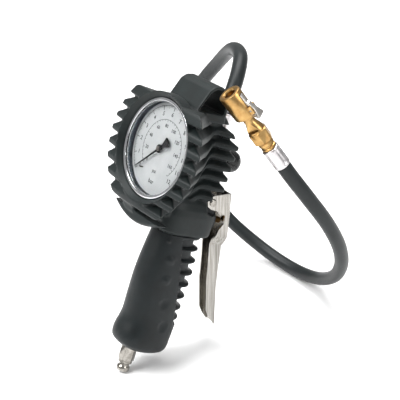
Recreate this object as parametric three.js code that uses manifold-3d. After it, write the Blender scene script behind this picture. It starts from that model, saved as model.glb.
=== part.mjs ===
import * as THREE from 'three';
import { mergeVertices } from 'three/addons/utils/BufferGeometryUtils.js';
import Module from 'manifold-3d';

// Tyre inflator gun. Millimetres, +Z up. The gun is drawn upright, with the centre of the air-plug
// end at the origin, and then leaned back as it rests on its plug and its hose.
const leanDegrees = -23;
const gap = 0.3;

// Gauge
const dialHeight = 193.6;
const dialFront = -41.6;
const bezelRadius = 40;
const lensRadius = 37;

// Rubber head boot
const lipRadius = 44.5;
const lipFront = -46.2;
const finRadius = 58;
const finCount = 8;
const finPitch = 11.34;
const finGroove = 3.6;
const lowestFin = -48.7;
const spineHalf = 14;

// Trigger and valve
const valveHeight = 142;
const pivotY = 27;
const pivotZ = 159;
const sheet = 1.3;

// Hose and chuck
const hoseRadius = 6.25;
const ferruleRadius = 6.8;
const chuckEnd = new THREE.Vector3(63.4, 114.27, 182.64);
const chuckAxis = new THREE.Vector3(-0.2517, -0.5117, 0.8215).normalize();
const hosePoints = [
  [0, 107.05, 208.7], [-1.1, 111.9, 218.2], [-10.2, 126.2, 232.2], [-27, 142, 240], [-60.5, 159.5, 233.5],
  [-91, 168, 211.5], [-124, 168, 174], [-140.5, 169.5, 127.5], [-134.5, 178, 78.5], [-112, 195, 38],
  [-74, 212, 12.5], [-37, 219, 5], [-1, 218, 11.5], [30, 210, 31], [52.5, 196.5, 59], [66.5, 178.5, 90],
  [72.2, 157.5, 121], [70.8, 135.5, 151], [66.6, 121, 171.8], [63.52, 114.6, 182.2],
];

const wasm = await Module();
wasm.setup();

const signedVolume = (corners, faces) => {
  const [a, b, c] = [new THREE.Vector3(), new THREE.Vector3(), new THREE.Vector3()];
  let volume = 0;
  for (let i = 0; i < faces.length; i += 3) {
    a.fromArray(corners, faces[i] * 3);
    b.fromArray(corners, faces[i + 1] * 3);
    c.fromArray(corners, faces[i + 2] * 3);
    volume += a.dot(b.cross(c));
  }
  return volume;
};

const toSolid = (geometry) => {
  const bare = new THREE.BufferGeometry();
  bare.setAttribute('position', geometry.getAttribute('position').clone());
  if (geometry.index) bare.setIndex(geometry.index.clone());
  const merged = mergeVertices(bare, 1e-4);
  const corners = merged.getAttribute('position').array;
  const faces = new Uint32Array(merged.index.array);
  if (signedVolume(corners, faces) < 0) faces.reverse();
  return new wasm.Manifold(new wasm.Mesh({
    numProp: 3,
    vertProperties: new Float32Array(corners),
    triVerts: faces,
  }));
};

const toGeometry = (solid) => {
  const mesh = solid.getMesh();
  const geometry = new THREE.BufferGeometry();
  geometry.setAttribute('position', new THREE.BufferAttribute(new Float32Array(mesh.vertProperties), 3));
  geometry.setIndex(new THREE.BufferAttribute(new Uint32Array(mesh.triVerts), 1));
  geometry.computeVertexNormals();
  return geometry;
};

const joinAll = (solids) => solids.reduce((whole, piece) => whole.add(piece));

const box = (x0, x1, y0, y1, z0, z1) => {
  const geometry = new THREE.BoxGeometry(x1 - x0, y1 - y0, z1 - z0);
  geometry.translate((x0 + x1) / 2, (y0 + y1) / 2, (z0 + z1) / 2);
  return toSolid(geometry);
};

// A turned shape about one axis: profile is a list of [radius, distance along the axis].
const turned = (axis, centre, profile, sides = 24) => {
  const points = profile.map(([radius, along]) => new THREE.Vector2(radius, along));
  const geometry = new THREE.LatheGeometry(points, sides);
  if (axis === 'x') geometry.rotateZ(-Math.PI / 2);
  if (axis === 'z') geometry.rotateX(Math.PI / 2);
  geometry.translate(...centre);
  return toSolid(geometry);
};

const rod = (axis, centre, radius, from, to, sides = 24) =>
  turned(axis, centre, [[0, from], [radius, from], [radius, to], [0, to]], sides);

// A flat outline in the Y-Z plane, drawn out along X.
const slab = (outline, x0, x1) => {
  const shape = new THREE.Shape(outline.map(([y, z]) => new THREE.Vector2(y, z)));
  const geometry = new THREE.ExtrudeGeometry(shape, { depth: x1 - x0, bevelEnabled: false, curveSegments: 1 });
  geometry.rotateY(Math.PI / 2);
  geometry.rotateX(Math.PI / 2);
  geometry.translate(x0, 0, 0);
  return toSolid(geometry);
};

// A flat outline in the X-Z plane, drawn out along Y.
const plate = (outline, y0, y1) => {
  const shape = new THREE.Shape(outline.map(([x, z]) => new THREE.Vector2(x, z)));
  const geometry = new THREE.ExtrudeGeometry(shape, { depth: y1 - y0, bevelEnabled: false, curveSegments: 1 });
  geometry.rotateX(Math.PI / 2);
  geometry.translate(0, y1, 0);
  return toSolid(geometry);
};

// Rounded-box sections stacked along Z: each is [z, half width, front, rear].
const stacked = (sections, sides, power, shrink = 0) => {
  const positions = [];
  const indices = [];
  sections.forEach(([z, half, front, rear]) => {
    for (let i = 0; i < sides; i += 1) {
      const angle = (2 * Math.PI * i) / sides;
      const c = Math.cos(angle);
      const s = Math.sin(angle);
      const x = Math.sign(c) * Math.abs(c) ** (2 / power) * (half - shrink);
      const y = Math.sign(s) * Math.abs(s) ** (2 / power) * ((rear - front) / 2 - shrink);
      positions.push(x, y + (front + rear) / 2, z);
    }
  });
  for (let ring = 0; ring < sections.length - 1; ring += 1) {
    for (let i = 0; i < sides; i += 1) {
      const a = ring * sides + i;
      const b = ring * sides + ((i + 1) % sides);
      indices.push(a, b, b + sides, a, b + sides, a + sides);
    }
  }
  const top = (sections.length - 1) * sides;
  for (let i = 1; i < sides - 1; i += 1) {
    indices.push(0, i + 1, i);
    indices.push(top, top + i, top + i + 1);
  }
  const geometry = new THREE.BufferGeometry();
  geometry.setAttribute('position', new THREE.Float32BufferAttribute(positions, 3));
  geometry.setIndex(indices);
  return toSolid(geometry);
};

// A round wire or hose along a curve.
const wire = (points, radius, steps, sides) => {
  const curve = new THREE.CatmullRomCurve3(points.map((p) => new THREE.Vector3(...p)), false, 'centripetal');
  const ring = [];
  for (let i = 0; i < sides; i += 1) {
    const angle = (2 * Math.PI * i) / sides;
    ring.push(new THREE.Vector2(radius * Math.cos(angle), radius * Math.sin(angle)));
  }
  return new THREE.ExtrudeGeometry(new THREE.Shape(ring), { steps, extrudePath: curve, curveSegments: 1 });
};

const helix = (axisPoint, radius, from, to, turns, perTurn) => {
  const points = [];
  for (let i = 0; i <= turns * perTurn; i += 1) {
    const angle = (2 * Math.PI * i) / perTurn;
    const along = from + ((to - from) * i) / (turns * perTurn);
    points.push([
      axisPoint[0] + radius * Math.cos(angle), along, axisPoint[1] + radius * Math.sin(angle),
    ]);
  }
  return points;
};

const part = new THREE.Group();
part.name = 'tyre_inflator';

const finishes = {
  bootRubber: [0x33393a, 0.62, 0],
  gripRubber: [0x363c3d, 0.6, 0],
  hoseRubber: [0x34383a, 0.5, 0],
  castBody: [0x2b2e30, 0.55, 0.6],
  chrome: [0xd8dadb, 0.16, 1],
  steel: [0xb4b2ae, 0.28, 1],
  crimp: [0xd6d4d5, 0.34, 1],
  brass: [0xc8964f, 0.26, 1],
  dial: [0xdfe0df, 0.5, 0],
  black: [0x151617, 0.45, 0],
  caseSteel: [0x3a4450, 0.4, 0.6],
  glass: [0xf2f6f6, 0.05, 0],
  nitrile: [0x18191a, 0.7, 0],
};

const add = (name, shape, finish, upright = true) => {
  const geometry = shape.isBufferGeometry ? shape : toGeometry(shape);
  if (upright) geometry.rotateX(THREE.MathUtils.degToRad(leanDegrees));
  const [color, roughness, metalness] = finishes[finish];
  const mesh = new THREE.Mesh(geometry, new THREE.MeshStandardMaterial({ color, roughness, metalness }));
  mesh.name = name;
  part.add(mesh);
};

const dialAxis = [0, 0, dialHeight];
const dialY = (radius, from, to, sides = 32) => rod('y', dialAxis, radius, from, to, sides);

// Rubber head boot: a finned cone behind the gauge, cut into parallel plates, with a hanging hood.
const finEnvelope = joinAll([
  turned('y', dialAxis, [
    [0, lipFront], [lipRadius, lipFront], [finRadius, -43.9], [finRadius, -40], [16, 2], [0, 2],
  ], 40),
  box(-spineHalf, spineHalf, -12, 14, 144, 234),
  box(-17, 17, 14, 29, 150, 234),
]);
const coneCore = [[0, lipFront], [lipRadius, lipFront], [lipRadius, -35], [12, -3], [0, -3]];
const finCore = joinAll([
  turned('y', dialAxis, coneCore, 40),
  box(-spineHalf + 3, spineHalf - 3, -12, 22, 144, 234),
]);
const rearSlope = slab([[31, 120], [31, 203], [2, 238], [60, 240], [60, 120]], -30, 30);
const outletChannel = box(-9.6, 9.6, 11, 40, 202, 240);
const grooves = [];
for (let i = 0; i < finCount; i += 1) {
  const height = dialHeight + lowestFin + finPitch * i - finGroove;
  if (i > 0) grooves.push(box(-70, 70, -50, 60, height, height + finGroove));
}
const finStack = finEnvelope
  .intersect(box(-70, 70, -50, 60, 138, 233))
  .subtract(joinAll(grooves).subtract(finCore));
const lip = turned('y', dialAxis, coneCore, 40);
const lobe = rod('y', dialAxis, 61.5, -38.5, -29, 40).intersect(box(-60, 60, -50, 0, 120, 146));
const neck = stacked([
  [128.6, 16, -14, 35], [131, 17, -17, 36], [148, 17, -17, 36], [166, 16, -14, 33],
], 20, 3.2);
const hoodOuter = slab([
  [-31, 226], [-28, 236], [-22.5, 249.5], [-18, 253.3], [-11, 254.6], [-5, 252], [-1, 246], [1, 236], [2, 226],
], -20, 20);
const hoodInner = slab([
  [-27, 233], [-25.4, 237], [-20.6, 247.8], [-17, 251], [-11, 252.2], [-6.4, 250], [-3, 245], [-1.4, 233],
], -30, 30);
const bodyClear = 0.3;
const bodyShape = (grow) => joinAll([
  rod('y', dialAxis, 9.5 + grow, -6 - grow, 27.5 + grow, 24),
  box(-8.5 - grow, 8.5 + grow, -3 - grow, 16 + grow, 112 - grow, dialHeight),
  rod('y', [0, 0, valveHeight], 10 + grow, -5.5 - grow, 36.5 + grow, 24),
  box(-8.2 - grow, 8.2 + grow, 14, 33.2 + grow, valveHeight, pivotZ + 3),
  rod('x', [0, pivotY, pivotZ], 6.2 + grow, -8.2 - grow, 8.2 + grow, 20),
]);
const triggerClear = slab([
  [19.5, 150.6], [19.5, 170.5], [70, 170.5], [70, 120], [39, 120], [39, 148.5], [26, 148.5],
], -30, 30);
const bootBody = joinAll([finStack, lip, lobe, neck, hoodOuter])
  .subtract(hoodInner)
  .subtract(turned('y', dialAxis, [
    [0, -47], [lipRadius - 0.4, -47], [bezelRadius + gap, dialFront], [bezelRadius + gap, -32.8],
    [31.4, -25.6], [17.4, -12.4], [0, -12.4],
  ], 40))
  .subtract(rearSlope)
  .subtract(outletChannel)
  .subtract(bodyShape(bodyClear))
  .subtract(rod('y', dialAxis, 9.9, 20, 50, 24))
  .subtract(rod('y', dialAxis, 6, -14, 0, 20))
  .subtract(rod('z', [0, 17, 0], 7.3, 190, 236, 20))
  .subtract(rod('y', [0, 0, valveHeight], 10.3, 20, 50, 24))
  .subtract(triggerClear);
add('head_boot', bootBody, 'bootRubber');

// Rubber grip with stepped ribs on the finger side
const gripSections = [
  [24, 16.5, -10, 27], [25.5, 18.6, -13, 29.6], [29, 20.2, -17, 31.3], [36, 20.6, -18.2, 31.9],
  [50, 19.4, -15.6, 33], [65, 18.9, -16.2, 33.2], [85, 18.6, -17.2, 33.8], [100, 18.3, -16.6, 33.4],
  [117, 17.3, -15, 31], [128.3, 16.4, -13.8, 29.8],
];
const ribHeights = [117.4, 106.9, 96.3, 85.8, 75.2, 65, 56, 48.8];
const pockets = ribHeights.map((z, i) => {
  const top = i === 0 ? 126 : ribHeights[i - 1] - 1.5;
  const low = z + 1.5;
  const edge = 3.4 + (126 - low) * 0.263;
  return slab([[edge, low], [edge, top], [60, top], [60, low]], -40, 40);
});
const gripCore = stacked(gripSections, 28, 2.5, 4.6);
const gripSleeve = stacked(gripSections, 28, 2.3)
  .subtract(joinAll(pockets).subtract(gripCore))
  .subtract(rod('z', [0, 0, 0], 5.3, 10, 112, 20))
  .subtract(box(-8.8, 8.8, -3.3, 16.3, 111.7, 130));
add('grip_sleeve', gripSleeve, 'gripRubber');

// Cast body inside the rubber
const castBody = bodyShape(0)
  .subtract(rod('y', [0, 0, valveHeight], 6.2, -6, 24, 20))
  .subtract(rod('y', [0, 0, valveHeight], 3, 20, 31, 16))
  .subtract(rod('y', [0, 0, valveHeight], 5.2, 30, 40, 16))
  .subtract(rod('x', [0, pivotY, pivotZ], 2.2, -12, 12, 16))
  .subtract(rod('y', dialAxis, 5.2, -10, 6, 20))
  .subtract(rod('y', dialAxis, 6.2, 20, 30, 20))
  .subtract(rod('z', [0, 17, 0], 3.2, 198, 206, 16));
add('gun_body', castBody, 'castBody');
const rearCap = turned('y', dialAxis, [
  [0, 21.2], [5.9, 21.2], [5.9, 27.8], [9.6, 27.8], [9.6, 40], [8.4, 44], [5, 46.2], [0, 46.6],
], 24);
add('rear_cap', rearCap, 'black');

// Gauge
const gaugeCase = turned('y', dialAxis, [
  [0, -13], [17, -13], [31, -26], [39, -33], [39, -38.2], [37.6, -38.2], [37.6, -33.1], [29.8, -26.2],
  [16, -14.4], [0, -14.4],
], 40).subtract(rod('y', dialAxis, 5.2, -20, -5, 20));
add('gauge_case', gaugeCase, 'caseSteel');
const bezel = turned('y', dialAxis, [
  [lensRadius, -41.6], [39.2, -41.6], [bezelRadius, -40.8], [bezelRadius, -33], [39.3, -33],
  [39.3, -38.5], [lensRadius, -38.5], [lensRadius, -41.6],
], 40);
add('gauge_bezel', bezel, 'chrome');
add('gauge_window', dialY(lensRadius - gap, -40.8, -39.2, 40), 'glass');
const dialPlate = dialY(36.5, -34.2, -33.4, 40).subtract(dialY(1.6, -40, -30, 12));
add('dial_plate', dialPlate, 'dial');
const stopAngle = THREE.MathUtils.degToRad(234);
const stopSpot = [25 * Math.cos(stopAngle), 0, dialHeight + 25 * Math.sin(stopAngle)];
add('zero_stop', rod('y', stopSpot, 0.6, -37.4, -34.5, 8), 'steel');

const pointerAngle = THREE.MathUtils.degToRad(225);
const pointerOutline = [
  [-12, 2.6], [-9, 2.2], [-3.6, 1.1], [3, 0.9], [31, 0.35],
  [31, -0.35], [3, -0.9], [-3.6, -1.1], [-9, -2.2], [-12, -2.6],
].map(([along, across]) => [
  along * Math.cos(pointerAngle) - across * Math.sin(pointerAngle),
  dialHeight + along * Math.sin(pointerAngle) + across * Math.cos(pointerAngle),
]);
const pointer = plate(pointerOutline, -37, -36.4)
  .add(dialY(3.4, -37, -36.4, 16))
  .subtract(dialY(1.5, -40, -30, 12));
add('pointer', pointer, 'black');
const arbor = turned('y', dialAxis, [
  [0, -38.2], [1.9, -38.2], [1.9, -37.3], [1.2, -37.3], [1.2, -29.4], [2.2, -29.4], [2.2, -26.6],
  [0.9, -26.6], [0.9, -24], [0, -24],
], 12);
add('pinion_arbor', arbor, 'brass');
const movementPlate = (y0, y1) => box(-9, 9, y0, y1, dialHeight - 14, dialHeight + 5)
  .subtract(dialY(1.5, -40, -20, 12))
  .subtract(rod('y', [0, 0, dialHeight - 10.5], 1.5, -40, -20, 12));
add('movement_front_plate', movementPlate(-31.6, -30.4), 'brass');
add('movement_rear_plate', movementPlate(-25.6, -24.4), 'brass');
[-7, 7].forEach((x, i) => {
  add(`movement_post_${i + 1}`, rod('y', [x, 0, dialHeight + 2.5], 1.2, -30.1, -25.9, 10), 'brass');
});
const sectorTilt = THREE.MathUtils.degToRad(-17);
const sectorArm = plate([
  [-1.6, -5.5], [1.6, -5.5], [2.2, 1.5], [5.4, 6], [3.2, 7.4], [0, 8], [-3.2, 7.4], [-5.4, 6],
  [-2.2, 1.5],
].map(([x, z]) => [
  x * Math.cos(sectorTilt) - z * Math.sin(sectorTilt),
  dialHeight - 10.5 + x * Math.sin(sectorTilt) + z * Math.cos(sectorTilt),
]), -28.4, -27.4);
const sector = sectorArm.add(rod('y', [0, 0, dialHeight - 10.5], 1.2, -31, -25, 10));
add('sector_gear', sector, 'brass');
const hairPoints = [];
for (let i = 0; i <= 36; i += 1) {
  const angle = (2 * Math.PI * i) / 12;
  const radius = 2 + (2.4 * i) / 36;
  hairPoints.push([radius * Math.cos(angle), -32.4, dialHeight + radius * Math.sin(angle)]);
}
add('hairspring', wire(hairPoints, 0.16, 48, 4), 'brass');
const bourdonPoints = [];
for (let i = 0; i <= 18; i += 1) {
  const angle = THREE.MathUtils.degToRad(-62 + (284 * i) / 18);
  bourdonPoints.push([23.5 * Math.cos(angle), -25.6, dialHeight + 23.5 * Math.sin(angle)]);
}
add('bourdon_tube', wire(bourdonPoints, 2, 30, 8), 'brass');
const socket = rod('y', dialAxis, 4.9, -23.4, 5.6, 20)
  .add(box(-5, 5, -23.4, -16, dialHeight - 5, dialHeight + 5))
  .add(box(2, 9, -23.2, -18.6, dialHeight - 16, dialHeight - 4))
  .add(box(2, 12, -23.2, -21.6, dialHeight - 20, dialHeight - 15))
  .subtract(rod('y', dialAxis, 2, -15, 10, 12));
add('gauge_socket', socket, 'brass');

// Air plug, its washer and the tube up through the grip
const plugHex = turned('z', [0, 0, 0], [[0, 9.8], [7, 9.8], [7, 23.4], [0, 23.4]], 6);
const airPlug = joinAll([
  plugHex,
  turned('z', [0, 0, 0], [
    [0, 0], [4.8, 0], [5.5, 0.9], [5.5, 3.6], [4.2, 4.8], [4.2, 6.8], [5.9, 7.6], [5.9, 9.9], [0, 9.9],
  ], 24),
  rod('z', [0, 0, 0], 3.1, 23, 33, 16),
]).subtract(rod('z', [0, 0, 0], 2.2, -1, 34, 12));
add('air_plug', airPlug, 'steel');
const washer = rod('z', [0, 0, 0], 5, 23.7, 25.2, 20).subtract(rod('z', [0, 0, 0], 3.4, 20, 30, 20));
add('plug_washer', washer, 'nitrile');
const inletTube = rod('z', [0, 0, 0], 5, 25.5, 111.4, 20)
  .subtract(rod('z', [0, 0, 0], 3.4, 20, 34, 16))
  .subtract(rod('z', [0, 0, 0], 2.4, 20, 120, 12));
add('inlet_tube', inletTube, 'steel');

// Valve
const valveAxis = [0, 0, valveHeight];
add('valve_plug', rod('y', valveAxis, 5.9, -5.2, -0.6, 20), 'brass');
add('valve_spring', wire(helix([0, valveHeight], 4.2, 0.2, 10.6, 5, 8), 0.55, 60, 5), 'steel');
const valvePin = turned('y', valveAxis, [
  [0, 11.4], [5, 11.4], [5, 15.4], [2.7, 16.4], [2.7, 48.6], [1.6, 50.2], [0, 50.6],
], 16);
add('valve_pin', valvePin, 'brass');
const guideNut = turned('y', valveAxis, [[0, 30.3], [4.9, 30.3], [4.9, 39.4], [0, 39.4]], 6)
  .subtract(rod('y', valveAxis, 3, 20, 50, 16));
add('valve_guide', guideNut, 'brass');

// Trigger lever: a folded steel channel
const leverOuter = slab([
  [27, 165], [22.6, 163], [21, 159], [22.8, 155], [27, 153], [38, 151.6], [44.6, 149], [46.4, 142],
  [43, 136], [42, 126], [44.6, 118], [48.4, 107], [54.6, 87], [65.6, 60], [71, 54], [79, 47.6],
  [79.8, 49.4], [67.6, 82], [61.2, 105], [57, 121], [57.4, 126], [55.6, 132], [52.6, 142], [44.6, 168.4],
  [43, 168.6],
], -10.6, 10.6);
const leverInner = slab([
  [0, 180], [39.4, 180], [43.1, 166], [51.2, 142], [54.2, 132], [56, 126], [55.6, 121], [59.8, 105],
  [66.2, 82], [78.6, 48], [78, 40], [0, 40],
], -20, 20);
const leverWidth = (wide, narrow) => plate([
  [-wide, 190], [-wide, 131], [-narrow - 0.4, 121], [-narrow, 40], [narrow, 40], [narrow + 0.4, 121],
  [wide, 131], [wide, 190],
], -10, 100);
const lever = leverOuter
  .intersect(leverWidth(10.4, 6))
  .subtract(leverInner.intersect(leverWidth(10.4 - sheet, 6 - sheet)))
  .subtract(rod('x', [0, pivotY, pivotZ], 2.1, -20, 20, 16));
add('trigger_lever', lever, 'steel');
add('trigger_pin', rod('x', [0, pivotY, pivotZ], 1.9, -10.4, 10.4, 16), 'steel');
[-1, 1].forEach((side) => {
  const name = side < 0 ? 'pin_head_left' : 'pin_head_right';
  const head = rod('x', [0, pivotY, pivotZ], 3.2, side < 0 ? -11.8 : 10.6, side < 0 ? -10.6 : 11.8, 16);
  add(name, head, 'steel');
});

// Hose outlet at the gun
const outlet = turned('z', [0, 17, 0], [[0, 203.6], [7, 203.6], [7, 211.6], [0, 211.6]], 6);
add('outlet_adapter', outlet, 'steel');
const gunFerrule = turned('z', [0, 17, 0], [
  [0, 211.9], [ferruleRadius - 0.6, 211.9], [ferruleRadius, 212.6], [ferruleRadius, 232.2],
  [ferruleRadius - 0.6, 232.9], [0, 232.9],
], 20);
add('gun_ferrule', gunFerrule, 'crimp');

// Hose, resting on the ground behind the gun
add('hose', wire(hosePoints, hoseRadius, 56, 10), 'hoseRubber', false);

// Clip-on chuck, drawn along its own axis and set at the end of the hose
const sideways = new THREE.Vector3(0.845, 0.3, 0.447);
sideways.addScaledVector(chuckAxis, -sideways.dot(chuckAxis)).normalize();
const third = new THREE.Vector3().crossVectors(chuckAxis, sideways);
const chuckFrame = new THREE.Matrix4().makeBasis(sideways, third, chuckAxis).setPosition(chuckEnd);
const addChuck = (name, solid, finish) => {
  const geometry = toGeometry(solid);
  geometry.applyMatrix4(chuckFrame);
  add(name, geometry, finish, false);
};
const origin = [0, 0, 0];
const chuckFerrule = turned('z', origin, [
  [0, 0], [ferruleRadius - 0.5, 0], [ferruleRadius, 0.6], [ferruleRadius, 18.4],
  [ferruleRadius - 0.5, 19], [0, 19],
], 20);
addChuck('chuck_ferrule', chuckFerrule, 'crimp');
const collar = turned('z', origin, [
  [0, 19.3], [6, 19.3], [6, 21.4], [5.2, 21.8], [5.2, 22.8], [6.3, 23.2], [6.3, 26.8], [0, 26.8],
], 20);
addChuck('chuck_collar', collar, 'brass');
const nut = turned('z', origin, [[0, 27.1], [8.2, 27.1], [8.2, 38], [0, 38]], 6)
  .add(turned('z', origin, [[0, 37.8], [7, 37.8], [6.2, 41], [4.4, 46.2], [4.4, 49.4], [0, 49.4]], 20));
addChuck('chuck_nut', nut, 'brass');
const clipPivot = [9.6, 57.5];
const head = turned('z', origin, [
  [0, 49.7], [4.6, 49.7], [5.4, 52.6], [8, 53], [8.7, 54], [8.7, 75], [8, 76], [0, 76],
], 28)
  .add(box(7, 11.4, -3.6, 3.6, 54.2, 61))
  .subtract(box(6, 20, -2.2, 2.2, 50, 72.4))
  .subtract(box(3, 8, -2.2, 2.2, 69.6, 72.4))
  .subtract(rod('z', origin, 4.6, 62, 80, 20))
  .subtract(rod('z', origin, 1.5, 55, 64, 12))
  .subtract(rod('y', [clipPivot[0], 0, clipPivot[1]], 1, -10, 10, 12));
addChuck('chuck_body', head, 'brass');
const seal = rod('z', origin, 4.3, 62.3, 65.8, 20).subtract(rod('z', origin, 2, 60, 70, 16));
addChuck('chuck_seal', seal, 'nitrile');
const depressor = turned('z', origin, [
  [0, 57.4], [1.2, 57.4], [1.2, 67.4], [1.7, 67.4], [1.7, 70.6], [0, 71.4],
], 14);
addChuck('chuck_pin', depressor, 'brass');
const clip = plate([
  [7.6, 60], [7.6, 70], [5.2, 70.4], [5.2, 71.8], [9, 71.8], [9.4, 64.6], [10.9, 63.4], [12.4, 57.5],
  [13.6, 49.6], [7.4, 51.2], [7.4, 54.5],
], -1.8, 1.8).subtract(rod('y', [clipPivot[0], 0, clipPivot[1]], 1, -10, 10, 12));
addChuck('clip_lever', clip, 'steel');
addChuck('clip_pin', rod('y', [clipPivot[0], 0, clipPivot[1]], 0.8, -3.5, 3.5, 12), 'steel');
addChuck('clip_spring', box(6.3, 6.7, -1.2, 1.2, 61, 68), 'steel');

export default part;
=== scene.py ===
import math

import bmesh
import bpy
from mathutils import Matrix, Vector


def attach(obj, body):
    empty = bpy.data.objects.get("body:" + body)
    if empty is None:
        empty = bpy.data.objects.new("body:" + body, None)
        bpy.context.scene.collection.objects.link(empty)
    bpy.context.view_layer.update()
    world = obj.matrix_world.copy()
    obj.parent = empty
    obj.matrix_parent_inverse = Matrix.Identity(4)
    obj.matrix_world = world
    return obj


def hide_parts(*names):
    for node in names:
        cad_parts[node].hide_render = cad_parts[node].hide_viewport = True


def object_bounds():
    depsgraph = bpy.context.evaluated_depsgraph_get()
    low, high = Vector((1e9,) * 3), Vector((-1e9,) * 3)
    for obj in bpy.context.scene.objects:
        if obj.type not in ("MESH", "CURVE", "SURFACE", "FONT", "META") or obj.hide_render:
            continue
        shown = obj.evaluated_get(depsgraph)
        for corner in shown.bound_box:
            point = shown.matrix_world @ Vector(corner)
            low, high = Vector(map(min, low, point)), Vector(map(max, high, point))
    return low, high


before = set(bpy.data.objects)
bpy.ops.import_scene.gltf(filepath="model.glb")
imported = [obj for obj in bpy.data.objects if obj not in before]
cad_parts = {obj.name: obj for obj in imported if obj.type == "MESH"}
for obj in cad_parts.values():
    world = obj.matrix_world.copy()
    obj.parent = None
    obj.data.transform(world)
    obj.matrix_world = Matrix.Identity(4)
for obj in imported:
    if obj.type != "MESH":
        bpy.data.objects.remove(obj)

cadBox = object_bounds()
scene = bpy.context.scene

# The gun is drawn upright in millimetres, then leaned back on to its plug and its hose.
leanBack = Matrix.Rotation(math.radians(-23), 4, "X") @ Matrix.Scale(0.001, 4)
dialHeight = 193.6
pivot = {"y": 27, "z": 159}
valveHeight = 142

print("camera")
camera = {"place": (0.6120, -0.3642, 0.5217), "tilt": 62.99, "turn": 53.96, "lens": 92.74}
cameraData = bpy.data.cameras.new("camera")
cameraData.lens = camera["lens"]
cameraData.sensor_width = 36
cameraData.clip_start = 0.01
cameraData.clip_end = 20
cameraObject = bpy.data.objects.new("camera", cameraData)
cameraObject.location = camera["place"]
cameraObject.rotation_euler = (math.radians(camera["tilt"]), 0, math.radians(camera["turn"]))
scene.collection.objects.link(cameraObject)
scene.camera = cameraObject
scene.view_settings.view_transform = "Standard"


def toLinear(code):
    # sRGB hex to linear RGBA
    parts = [int(code[i:i + 2], 16) / 255 for i in (1, 3, 5)]
    return [p / 12.92 if p <= 0.04045 else ((p + 0.055) / 1.055) ** 2.4 for p in parts] + [1]


def addNode(tree, kind, settings=None, links=None):
    node = tree.nodes.new(kind)
    for key, value in (settings or {}).items():
        if isinstance(key, str) and hasattr(node, key):
            setattr(node, key, value)
        else:
            node.inputs[key].default_value = value
    for key, (source, output) in (links or {}).items():
        tree.links.new(source.outputs[output], node.inputs[key])
    return node


def newMaterial(name, colour, roughness, metallic=0.0, extra=None):
    material = bpy.data.materials.new(name)
    material.use_nodes = True
    tree = material.node_tree
    shader = tree.nodes["Principled BSDF"]
    shader.inputs["Base Color"].default_value = toLinear(colour)
    shader.inputs["Roughness"].default_value = roughness
    shader.inputs["Metallic"].default_value = metallic
    for key, value in (extra or {}).items():
        shader.inputs[key].default_value = value
    place = addNode(tree, "ShaderNodeTexCoord")
    return material, tree, shader, place


def tintBetween(tree, shader, source, output, darkHex, lightHex, low=0.3, high=0.7):
    # the pattern mixes two colours of the same finish
    ramp = addNode(tree, "ShaderNodeValToRGB", None, {"Fac": (source, output)})
    ramp.color_ramp.elements[0].position = low
    ramp.color_ramp.elements[0].color = toLinear(darkHex)
    ramp.color_ramp.elements[1].position = high
    ramp.color_ramp.elements[1].color = toLinear(lightHex)
    tree.links.new(ramp.outputs["Color"], shader.inputs["Base Color"])
    return ramp


def roughBetween(tree, shader, source, output, low, high):
    spread = addNode(
        tree, "ShaderNodeMapRange", {"To Min": low, "To Max": high}, {"Value": (source, output)})
    tree.links.new(spread.outputs["Result"], shader.inputs["Roughness"])


def bumpFrom(tree, shader, source, output, depth, strength=0.6):
    bump = addNode(
        tree, "ShaderNodeBump", {"Strength": strength, "Distance": depth}, {"Height": (source, output)})
    tree.links.new(bump.outputs["Normal"], shader.inputs["Normal"])
    return bump


def mouldedRubber(name, dark, light, roughness, grain):
    # Moulded elastomer: satin, faintly mottled, with the fine grain of a spark-eroded mould
    material, tree, shader, place = newMaterial(
        name, dark, roughness, 0,
        {"Sheen Weight": 0.04, "Sheen Roughness": 0.4, "Specular IOR Level": 0.28})
    cloud = addNode(
        tree, "ShaderNodeTexNoise", {"Scale": 70, "Detail": 4, "Roughness": 0.6},
        {"Vector": (place, "Object")})
    tintBetween(tree, shader, cloud, "Fac", dark, light, 0.3, 0.75)
    fine = addNode(
        tree, "ShaderNodeTexNoise", {"Scale": grain, "Detail": 3, "Roughness": 0.65},
        {"Vector": (place, "Object")})
    roughBetween(tree, shader, fine, "Fac", roughness - 0.08, roughness + 0.1)
    bumpFrom(tree, shader, fine, "Fac", 0.00012, 0.5)
    return material


def brushedSteel(name, dark, light, roughness, turn=(0, 0, 0), stretch=(900, 900, 25)):
    # Rolled steel sheet, polished along its length: long soft streaks vary its roughness and bump, and as
    # painted reflections they also shade its colour from dark to light grey
    material, tree, shader, place = newMaterial(name, light, roughness, 1)
    along = addNode(
        tree, "ShaderNodeMapping", {"Rotation": turn, "Scale": stretch}, {"Vector": (place, "Object")})
    brushAndReflectionStreak = addNode(
        tree, "ShaderNodeTexNoise", {"Scale": 1, "Detail": 4, "Roughness": 0.6},
        {"Vector": (along, "Vector")})
    # painted reflections: the streaks darken and lighten the steel's colour
    tintBetween(tree, shader, brushAndReflectionStreak, "Fac", dark, light, 0.3, 0.7)
    roughBetween(tree, shader, brushAndReflectionStreak, "Fac", roughness - 0.06, roughness + 0.1)
    bumpFrom(tree, shader, brushAndReflectionStreak, "Fac", 0.00003, 0.35)
    return material


def turnedMetal(name, dark, light, roughness, fineness=1500):
    # Metal turned on a lathe: close fine rings, slightly uneven tone and shine
    material, tree, shader, place = newMaterial(name, light, roughness, 1)
    cloud = addNode(
        tree, "ShaderNodeTexNoise", {"Scale": 160, "Detail": 5, "Roughness": 0.65},
        {"Vector": (place, "Object")})
    tintBetween(tree, shader, cloud, "Fac", dark, light, 0.32, 0.68)
    scratch = addNode(
        tree, "ShaderNodeTexNoise", {"Scale": fineness, "Detail": 3, "Roughness": 0.7},
        {"Vector": (place, "Object")})
    roughBetween(tree, shader, scratch, "Fac", roughness - 0.07, roughness + 0.1)
    bumpFrom(tree, shader, scratch, "Fac", 0.00003, 0.3)
    return material


# satin near-black, faintly cool
bootRubber = mouldedRubber("bootMouldedRubber", "#101616", "#182020", 0.46, 1100)
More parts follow.
